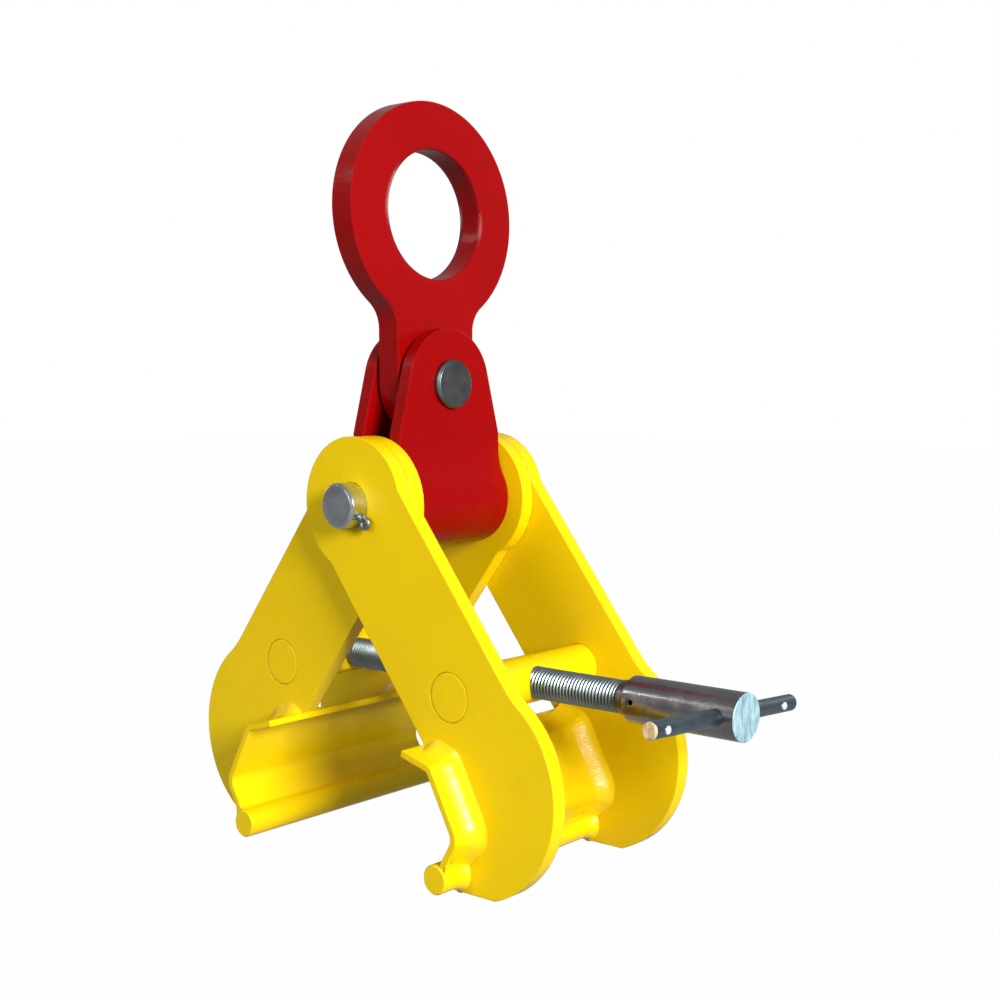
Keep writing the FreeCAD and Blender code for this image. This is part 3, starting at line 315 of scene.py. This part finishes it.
JAWS = {"right": 1, "left": -1}
COATS = {
    red_eye: ["lifting_eye"],
    red_plate: ["clevis_boss", "clevis_front_ear", "clevis_rear_ear", "clevis_welds"],
    yellow_plate: [jaw + part for jaw in JAWS
                   for part in ("_plate_front", "_plate_rear", "_jaw_channel", "_jaw_rod", "_jaw_welds")],
    yellow_rim: [jaw + "_trunnion" for jaw in JAWS],
    turned_pin: ["main_pin"],
    eye_pin_steel: ["eye_pin"],
    zinc: ["eye_pin_washer", "spindle", "spindle_washer", "spindle_lock_nut"],
    wire_steel: ["main_pin_split_pin", "eye_pin_split_pin"],
    sleeve_steel: ["handle_sleeve", "sleeve_pin"],
    bar_steel: ["tommy_bar", "tommy_bar_stops"],
}
for material, nodes_of_coat in COATS.items():
    for node in nodes_of_coat:
        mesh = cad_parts[node].data
        mesh.materials.clear()
        mesh.materials.append(material)


# Solids cut shorter, as the photo shows them: the feet of the jaw plates and the split pin's legs. A foot's
# drop is how far its sole lies below the bar's underside, and the left soles lie above it.

FOOT_DROP = {"right": 2.6 * MM, "left": -3.2 * MM}
SPLIT_PIN_FALL = math.radians(33.0)
SPLIT_PIN_LEGS = 15.2 * MM


def cut_copy(node, name, place, out, body, material):
    """A solid's own mesh, merged, cut off at the plane through place that faces out, and closed there."""
    shell = bmesh.new()
    shell.from_mesh(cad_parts[node].data)
    bmesh.ops.transform(shell, matrix=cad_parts[node].matrix_world, verts=shell.verts)
    bmesh.ops.remove_doubles(shell, verts=shell.verts, dist=1e-6)
    everything = shell.verts[:] + shell.edges[:] + shell.faces[:]
    bmesh.ops.bisect_plane(shell, geom=everything, dist=1e-7, plane_co=place, plane_no=out, clear_outer=True)
    bmesh.ops.holes_fill(shell, edges=[edge for edge in shell.edges if edge.is_boundary])
    shell.verts.index_update()
    points = [tuple(corner.co) for corner in shell.verts]
    faces = [tuple(corner.index for corner in face.verts) for face in shell.faces]
    shell.free()
    piece = new_piece(name, points, faces, body, material)
    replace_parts(piece, node)


for jaw in JAWS:
    for end in ("front", "rear"):
        plate = "%s_plate_%s" % (jaw, end)
        sole = (0, 0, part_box(jaw + "_jaw_rod")[0].z - FOOT_DROP[jaw])
        cut_copy(plate, plate + "_short_foot", sole, (0, 0, -1), jaw + "_jaw", yellow_plate)

LEGS_WAY = Vector((-math.cos(SPLIT_PIN_FALL), 0.0, math.sin(SPLIT_PIN_FALL)))
LEGS_END = Vector((0, 0, PIVOT_Z)) + LEGS_WAY * SPLIT_PIN_LEGS
cut_copy("main_pin_split_pin", "main_pin_clipped_split_pin", LEGS_END, LEGS_WAY, "pivot", wire_steel)


# Screw: a rolled thread that follows its helix, with its journal end and its collar

THREAD_PROFILE = (0.0, 1.0), (0.14, 1.0), (0.34, 0.55), (0.50, 0.0), (0.70, 0.0), (0.86, 0.55)
THREAD_DEPTH = 1.35 * MM
THREAD_STEPS = 96
JOURNAL_RADIUS = 8.0 * MM
COLLAR_RADIUS = 10.6 * MM
SHOULDER_PAST_BAR_MIDDLE = 11.3 * MM
COLLAR_LENGTH = 5.5 * MM

SCREW_TIP_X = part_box("spindle")[0].x
SLEEVE_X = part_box("handle_sleeve")[0].x
SCREW_Z = (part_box("spindle_washer")[0].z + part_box("spindle_washer")[1].z) / 2
SHOULDER_X = (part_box("left_trunnion")[0].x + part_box("left_trunnion")[1].x) / 2 + SHOULDER_PAST_BAR_MIDDLE
COLLAR_X = SLEEVE_X - COLLAR_LENGTH


def screw_thread(start, end):
    """The thread as rows of points that each follow the helix once round.

    The profile gives six rows per pitch, each by its place p in the pitch and its height h. At share a of a
    turn, row p of thread n has x = start + pitch * (n + p + a) and radius = full - depth * (1 - h).
    """
    places, heights = np.array(THREAD_PROFILE).T
    threads = int((end - start) / THREAD_PITCH)
    along = (np.arange(threads)[:, None] + places).ravel()
    radius = (THREAD_RADIUS - THREAD_DEPTH * (1 - np.tile(heights, threads)))[:, None]
    turn = np.linspace(0, 1, THREAD_STEPS + 1)
    around = 2 * math.pi * turn
    x = start + THREAD_PITCH * (along[:, None] + turn)
    points = np.stack([x, radius * np.sin(around), SCREW_Z + radius * np.cos(around)], -1)
    faces = grid_faces(len(along), THREAD_STEPS + 1, False)
    return new_piece("screw_thread", points.reshape(-1, 3), faces, "screw", thread_zinc_painted_shade,
                     crease=25.0)


def screw_journal():
    """The screw's turned-down end, from its chamfered tip to the chamfered shoulder under the thread."""
    chamfer = 1.2 * MM
    hidden_end = SHOULDER_X + 3.2 * MM
    profile = [(SCREW_TIP_X, 0.0), (SCREW_TIP_X, JOURNAL_RADIUS - chamfer),
               (SCREW_TIP_X + chamfer, JOURNAL_RADIUS), (SHOULDER_X, JOURNAL_RADIUS),
               (SHOULDER_X, JOURNAL_RADIUS + 0.8 * MM),
               (SHOULDER_X + chamfer, THREAD_RADIUS - 0.1 * MM), (hidden_end, THREAD_RADIUS - 1.0 * MM),
               (hidden_end, 0.0)]
    lathe("screw_journal", profile, (0, 0, SCREW_Z), "screw", zinc)


def screw_collar():
    """The plain collar where the thread ends at the sleeve, with both its edges broken."""
    end = SLEEVE_X + 0.2 * MM
    profile = [(COLLAR_X - 0.6 * MM, JOURNAL_RADIUS), (COLLAR_X - 0.2 * MM, COLLAR_RADIUS - 0.7 * MM),
               (COLLAR_X + 0.4 * MM, COLLAR_RADIUS), (end - 1.0 * MM, COLLAR_RADIUS),
               (end - 0.4 * MM, COLLAR_RADIUS - 0.5 * MM), (end, COLLAR_RADIUS - 0.5 * MM),
               (end, JOURNAL_RADIUS)]
    # The collar is drawn in the dark eye pin steel, not the screw's zinc: painted shade beside the sleeve.
    lathe("screw_collar", profile, (0, 0, SCREW_Z), "screw", eye_pin_steel)


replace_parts(screw_thread(SHOULDER_X + 1.0 * MM, COLLAR_X + 1.0 * MM), "spindle")
screw_journal()
screw_collar()


# Stop pins of the tommy bar, domed where they stand proud of it

STOP_RADIUS = 2.4 * MM
STOP_REACH = 6.3 * MM
DOME_FLATTENING = 0.6


def stop_pin(name, place):
    """A pin through the bar whose ends are quarter rounds of its own radius, flattened along its axis."""
    dome = np.linspace(0, math.pi / 2, 9)
    along = STOP_REACH - STOP_RADIUS * DOME_FLATTENING * (1 - np.sin(dome))
    round_end = list(zip(along, STOP_RADIUS * np.cos(dome)))
    profile = [(-s, r) for s, r in reversed(round_end)] + round_end
    bar_low, bar_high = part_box("tommy_bar")
    centre = ((bar_low.x + bar_high.x) / 2, place * math.cos(TOMMY_BAR_TURN),
              SCREW_Z - place * math.sin(TOMMY_BAR_TURN))
    return lathe(name, profile, centre, "tommy_bar", stop_steel_painted_highlight, steps=32)


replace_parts(stop_pin("stop_front", STOP_PLACES["front"]), "tommy_bar_stops")
stop_pin("stop_back", STOP_PLACES["back"])


# Welds: a bead along each corner between a plate and a channel, and a round along each side of the bar. A
# bead is broad down the channel and narrow round the bar, and its edges sink by SEAT into the steel.

BEAD_LEG = {"channel": 11.5 * MM, "bar": 4.2 * MM}
BEAD_RISE = {"channel": 16.6 * MM, "bar": 13.2 * MM}
BEAD_END_ANGLE = {"right": math.radians(-103.0), "left": math.radians(-60.0)}
BEAD_TAIL = 3.0 * MM
BEAD_START = 0.8 * MM
SEAT = 0.45 * MM
NARROWS_BEFORE_BAR = 16.0 * MM
NARROWS_OVER = 20.0 * MM
SWELLS = (27.0 * MM, 0.010), (9.0 * MM, 0.004)
RIPPLE_PITCH = 2.2 * MM
BAR_ROUND = 6.0 * MM
BAR_ROUND_DEPTH = 1.0 * MM
WELD_STEP = 0.4 * MM


def in_arm(along, outwards):
    """Plane point, x and z from the main pin, of a place in the right jaw's arm."""
    x = along * math.sin(ARM_TILT) + outwards * math.cos(ARM_TILT)
    z = -along * math.cos(ARM_TILT) + outwards * math.sin(ARM_TILT)
    return np.array((x, z))


def unit(vector):
    return vector / np.linalg.norm(vector)


def left_normal(vector):
    return np.array((-vector[1], vector[0]))


def angle(vector):
    return math.atan2(vector[1], vector[0])


def distances(path):
    """Distance along a path from its start to each of its points."""
    return np.concatenate([[0], np.cumsum(np.linalg.norm(np.diff(path, axis=0), axis=1))])


def channel_corners():
    """Corners of the right jaw's channel from its lip's edge to the bar's centre."""
    root = in_arm(*LIP_ROOT_IN_ARM)
    towards_root = in_arm(math.cos(LIP_TILT), 0) + in_arm(0, math.sin(LIP_TILT))
    return root - towards_root * LIP_LENGTH, root, in_arm(*CHANNEL_BEND_IN_ARM), in_arm(*BAR_IN_ARM)


def rounded_path(corners, radii):
    """Straight runs joined by arcs that touch them, sampled evenly along their length."""
    arc_steps = 24
    runs = [np.array(corners[0])[None, :]]
    for index, radius in enumerate(radii, start=1):
        inward = unit(corners[index - 1] - corners[index])
        onward = unit(corners[index + 1] - corners[index])
        half = math.acos(float(inward @ onward)) / 2
        centre = corners[index] + unit(inward + onward) * radius / math.sin(half)
        start = angle(corners[index] + inward * radius / math.tan(half) - centre)
        stop = angle(corners[index] + onward * radius / math.tan(half) - centre)
        sweep = (stop - start + math.pi) % (2 * math.pi) - math.pi
        turn = start + sweep * np.linspace(0, 1, arc_steps)
        runs.append(centre + radius * np.stack([np.cos(turn), np.sin(turn)], -1))
    runs.append(np.array(corners[-1])[None, :])
    path = np.concatenate(runs)
    length = distances(path)
    even = np.linspace(0, length[-1], int(length[-1] / WELD_STEP))
    return np.stack([np.interp(even, length, path[:, 0]), np.interp(even, length, path[:, 1])], -1)


def arc(centre, radius, first, last):
    """Points of an arc from one angle to another: centre + radius * (cos a, sin a)."""
    turn = np.linspace(first, last, max(3, int(abs(last - first) * radius / WELD_STEP)))
    return centre + radius * np.stack([np.cos(turn), np.sin(turn)], -1)


def bar_corner(way):
    """Centre and both ends of the round between the channel's last run and the bar, on one side of it."""
    bend, bar = channel_corners()[2:]
    down = unit(bar - bend)
    out = left_normal(down) * way
    off = CHANNEL_THICKNESS / 2
    back = math.sqrt((BAR_RADIUS + BAR_ROUND) ** 2 - (off + BAR_ROUND) ** 2)
    on_channel = bar - down * back + out * off
    centre = on_channel + out * BAR_ROUND
    return centre, on_channel, bar + unit(centre - bar) * BAR_RADIUS


def weld_path(end_angle):
    """Plane path of a bead down the channel, through the corner and round the bar.

    It comes with the count of its points that lie down the channel.
    """
    lip, root, bend, bar = channel_corners()
    start = lip + unit(root - lip) * BEAD_START
    centre, on_channel, on_bar = bar_corner(1)
    down = rounded_path([start, root, bend, on_channel], [ROOT_BEND_RADIUS, CHANNEL_BEND_RADIUS])
    first = angle(on_channel - centre)
    sweep = (angle(on_bar - centre) - first) % (2 * math.pi)
    corner = arc(centre, BAR_ROUND, first, first + sweep)
    around = arc(bar, BAR_RADIUS, angle(on_bar - bar), end_angle)
    return np.concatenate([down, corner[1:], around[1:]]), len(down)


def bead(name, jaw, face, out, ripple, run_in, material, seed):
    """A weld bead that stands on a plate's face, leg wide on the plate and rise high along channel and bar.

    Its hollow section is a quarter of an ellipse, a from 0 to 90 degrees: away from the channel
    leg * (1 - sin a), up from the plate rise * (1 - cos a). Leg and rise shrink smoothly where the bead
    passes to the bar, and to nothing at both ends, over run_in at the lip. The ripple is
    ripple * sin(2 pi (s / pitch + bow)), where bow bends each wave forward in the middle of the bead. All of
    it sinks by SEAT into plate and channel, and one more row of points closes it behind them.
    """
    path, channel_count = weld_path(BEAD_END_ANGLE[jaw])
    tangent = np.gradient(path, axis=0)
    tangent /= np.linalg.norm(tangent, axis=1)[:, None]
    normal = np.stack([-tangent[:, 1], tangent[:, 0]], -1)
    length = distances(path)
    to_bar = np.clip((length - length[channel_count - 1] + NARROWS_BEFORE_BAR) / NARROWS_OVER, 0, 1)
    to_bar = to_bar ** 2 * (3 - 2 * to_bar)
    fade = np.clip(np.minimum(length / run_in, (length[-1] - length) / BEAD_TAIL), 0.001, 1)
    fade = fade * (2 - fade)
    phase = np.random.default_rng(seed).uniform(0, 1, 3)
    swell = 1
    for (spacing, height), shift in zip(SWELLS, phase):
        swell = swell + height * np.sin(2 * math.pi * (length / spacing + shift))
    leg = BEAD_LEG["channel"] + (BEAD_LEG["bar"] - BEAD_LEG["channel"]) * to_bar
    rise = BEAD_RISE["channel"] + (BEAD_RISE["bar"] - BEAD_RISE["channel"]) * to_bar
    leg = (leg * swell * fade)[:, None]
    rise = (rise * swell * fade)[:, None]
    section = np.linspace(0, math.pi / 2, 17)[None, :]
    middle = np.sin(2 * section)
    bow = 0.5 * middle ** 2
    wave = np.sin(2 * math.pi * (length[:, None] / RIPPLE_PITCH + bow + phase[2])) * middle
    wave = ripple * wave * fade[:, None]
    away = leg * (1 - np.sin(section)) + wave * np.cos(section) - SEAT
    up = rise * (1 - np.cos(section)) + wave * np.sin(section) - SEAT
    sunk = np.full((len(path), 1), -3 * SEAT)
    away = np.concatenate([away, sunk], 1)
    up = np.concatenate([up, sunk], 1)
    x = path[:, 0, None] + normal[:, 0, None] * away
    z = path[:, 1, None] + normal[:, 1, None] * away + PIVOT_Z
    points = np.stack([JAWS[jaw] * x, face + out * up, z], -1)
    faces = grid_faces(len(path), points.shape[1], True)
    return new_piece(name, points.reshape(-1, 3), faces, jaw + "_jaw", material, crease=75.0)


def bar_fillet(jaw, name, way):
    """The weld along the bar on one side of the channel: a hollow round from channel to bar.

    Its section is the arc, closed by one point inside the bar and one inside the channel, carried along Y.
    """
    bend, bar = channel_corners()[2:]
    centre, on_channel, on_bar = bar_corner(way)
    first = angle(on_channel - centre)
    sweep = (angle(on_bar - centre) - first + math.pi) % (2 * math.pi) - math.pi
    hollow = arc(centre, BAR_ROUND, first, first + sweep)
    in_bar = on_bar + unit(bar - centre) * BAR_ROUND_DEPTH
    in_channel = on_channel - left_normal(unit(bar - bend)) * way * BAR_ROUND_DEPTH
    profile = np.concatenate([hollow, [in_bar, in_channel]])
    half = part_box(jaw + "_jaw_channel")[1].y + 0.2 * MM
    y = np.linspace(-half, half, 80)[:, None] + 0 * profile[None, :, 0]
    points = np.stack([JAWS[jaw] * profile[:, 0] + 0 * y, y, profile[:, 1] + PIVOT_Z + 0 * y], -1)
    faces = grid_faces(len(y), len(profile), True)
    new_piece(name, points.reshape(-1, 3), faces, jaw + "_jaw", yellow_weld, crease=50.0)


def jaw_welds(jaw):
    """Smooth broad beads outside a jaw's plates, rough ones inside them, and the bar's own welds."""
    made = []
    for place, plate_side in (("front", -1), ("rear", 1)):
        low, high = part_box(jaw + "_plate_" + place)
        for face, out in ((low.y, -1), (high.y, 1)):
            seed = 11 + 7 * len(made) + (0 if jaw == "right" else 50)
            if out == plate_side:
                name = "%s_%s_weld_outer" % (jaw, place)
                made.append(bead(name, jaw, face, out, 0.0, 12.0 * MM, yellow_weld, seed))
            else:
                name = "%s_%s_weld_inner" % (jaw, place)
                made.append(bead(name, jaw, face, out, 0.06 * MM, 4.0 * MM, rough_weld, seed))
    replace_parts(made[0], jaw + "_jaw_welds")
    bar_fillet(jaw, jaw + "_bar_weld_outer", 1)
    bar_fillet(jaw, jaw + "_bar_weld_inner", -1)


for jaw in JAWS:
    jaw_welds(jaw)


# Camera, fitted to the photograph's own view of the clamp. Its focus and its axis are in the frame's pixels.

VIEW_TURN = math.radians(36.4)
VIEW_LIFT = math.radians(5.6)
VIEW_ROLL = math.radians(0.4)
CAMERA_PLACE = Vector((651.5, -640.3, -111.8)) * MM
FRAME_PIXELS = 1000.0
FOCUS_PIXELS = 1389.6
AXIS_PIXEL = (649.9, 530.0)


def add_camera():
    """A camera whose shift puts its axis on the pixel where the photograph's own axis lies."""
    back = Vector((math.sin(VIEW_TURN) * math.cos(VIEW_LIFT), -math.cos(VIEW_TURN) * math.cos(VIEW_LIFT),
                   math.sin(VIEW_LIFT)))
    level = Vector((math.cos(VIEW_TURN), math.sin(VIEW_TURN), 0))
    up = back.cross(level)
    across = level * math.cos(VIEW_ROLL) + up * math.sin(VIEW_ROLL)
    upright = up * math.cos(VIEW_ROLL) - level * math.sin(VIEW_ROLL)
    data = bpy.data.cameras.new("camera")
    data.sensor_width = 36.0
    data.lens = FOCUS_PIXELS * data.sensor_width / FRAME_PIXELS
    data.shift_x = (FRAME_PIXELS / 2 - AXIS_PIXEL[0]) / FRAME_PIXELS
    data.shift_y = (AXIS_PIXEL[1] - FRAME_PIXELS / 2) / FRAME_PIXELS
    data.clip_start = 0.05
    data.clip_end = 60.0
    camera = bpy.data.objects.new("camera", data)
    turn = Matrix((across, upright, back)).transposed()
    camera.matrix_world = Matrix.Translation(CAMERA_PLACE) @ turn.to_4x4()
    bpy.context.scene.collection.objects.link(camera)
    bpy.context.scene.camera = camera


add_camera()


# Studio: a pale floor, a pale world that is brighter above, and soft square lamps that face the clamp

CLAMP_MIDDLE = Vector((0, 0, -0.2))
FLOOR_HEIGHT = -0.62
FLOOR_HALF = 12.0
FLOOR_GREY = (0.22, 0.22, 0.22, 1.0)
FLOOR_WHITENESS = 0.985
WORLD_LOW, WORLD_HIGH = 0.05, 0.21
WORLD_TINT = (0.78, 0.96, 1.12, 1.0)
WHITE = (1.0, 1.0, 1.0, 1.0)
WHITE_IN_REFLECTIONS = 0.22
LAMPS = {
    "key": {"towards": (0.93, -0.27, 0.30), "distance": 2.4, "side": 0.8, "watts": 101.0},
    "front": {"towards": (-0.05, -0.90, 0.35), "distance": 2.4, "side": 0.9, "watts": 21.0},
    "strip": {"towards": (-0.59, -0.57, 0.51), "distance": 2.4, "side": 0.14, "watts": 3.0},
    "back": {"towards": (0.0, 1.0, 0.12), "distance": 2.6, "side": 0.6, "watts": 12.0},
    "far_side": {"towards": (-1.0, 0.08, 0.12), "distance": 2.6, "side": 0.6, "watts": 7.0},
}


def add_lamp(name, towards, distance, side, watts):
    data = bpy.data.lights.new(name, "AREA")
    data.shape = "RECTANGLE"
    data.size = side
    data.size_y = side
    data.energy = watts
    lamp = bpy.data.objects.new(name, data)
    lamp.location = CLAMP_MIDDLE + Vector(towards).normalized() * distance
    lamp.rotation_euler = (CLAMP_MIDDLE - lamp.location).to_track_quat("-Z", "Y").to_euler()
    bpy.context.scene.collection.objects.link(lamp)


def pale_shader(tree, target, lit, white, whiteness):
    """A surface or world that shows white to the camera, partly white in reflections, and lit otherwise."""
    ray = add_node(tree, "ShaderNodeLightPath").outputs
    direct = add_maths(tree, "MAXIMUM", ray["Is Camera Ray"], ray["Is Transmission Ray"])
    mirrored = add_maths(tree, "MULTIPLY", ray["Is Glossy Ray"], WHITE_IN_REFLECTIONS)
    seen = add_maths(tree, "MULTIPLY", add_maths(tree, "MAXIMUM", direct, mirrored), whiteness)
    mix = add_node(tree, "ShaderNodeMixShader", {0: seen, 1: lit, 2: white})
    tree.links.new(mix.outputs[0], target)


def add_floor():
    square = (-1, -1), (1, -1), (1, 1), (-1, 1)
    corners = [(x * FLOOR_HALF, y * FLOOR_HALF, FLOOR_HEIGHT) for x, y in square]
    mesh = bpy.data.meshes.new("floor")
    mesh.from_pydata(corners, [], [(0, 1, 2, 3)])
    floor = bpy.data.objects.new("floor", mesh)
    bpy.context.scene.collection.objects.link(floor)
    material = bpy.data.materials.new("pale_floor")
    material.use_nodes = True
    tree = material.node_tree
    tree.nodes.remove(tree.nodes["Principled BSDF"])
    matt = add_node(tree, "ShaderNodeBsdfDiffuse", {"Color": FLOOR_GREY})
    white = add_node(tree, "ShaderNodeEmission", {"Color": WHITE})
    pale_shader(tree, tree.nodes["Material Output"].inputs["Surface"], matt.outputs[0], white.outputs[0],
                FLOOR_WHITENESS)
    mesh.materials.append(material)


def add_world():
    world = bpy.data.worlds.new("studio")
    bpy.context.scene.world = world
    world.use_nodes = True
    tree = world.node_tree
    way = add_node(tree, "ShaderNodeTexCoord").outputs["Generated"]
    height = add_node(tree, "ShaderNodeSeparateXYZ", {0: way}).outputs["Z"]
    limits = {"Value": height, "From Min": -0.5, "From Max": 0.9, "To Min": WORLD_LOW, "To Max": WORLD_HIGH}
    level = add_node(tree, "ShaderNodeMapRange", limits).outputs[0]
    cool = add_node(tree, "ShaderNodeMix", {0: 1.0, 6: level, 7: WORLD_TINT}, data_type="RGBA",
                    blend_type="MULTIPLY")
    soft = tree.nodes["Background"]
    soft.inputs["Strength"].default_value = 1.0
    tree.links.new(cool.outputs[2], soft.inputs["Color"])
    white = add_node(tree, "ShaderNodeBackground", {"Color": WHITE})
    pale_shader(tree, tree.nodes["World Output"].inputs["Surface"], soft.outputs[0], white.outputs[0], 1.0)


for name, lamp in LAMPS.items():
    add_lamp(name, **lamp)
add_floor()
add_world()
bpy.context.scene.view_settings.view_transform = "Standard"
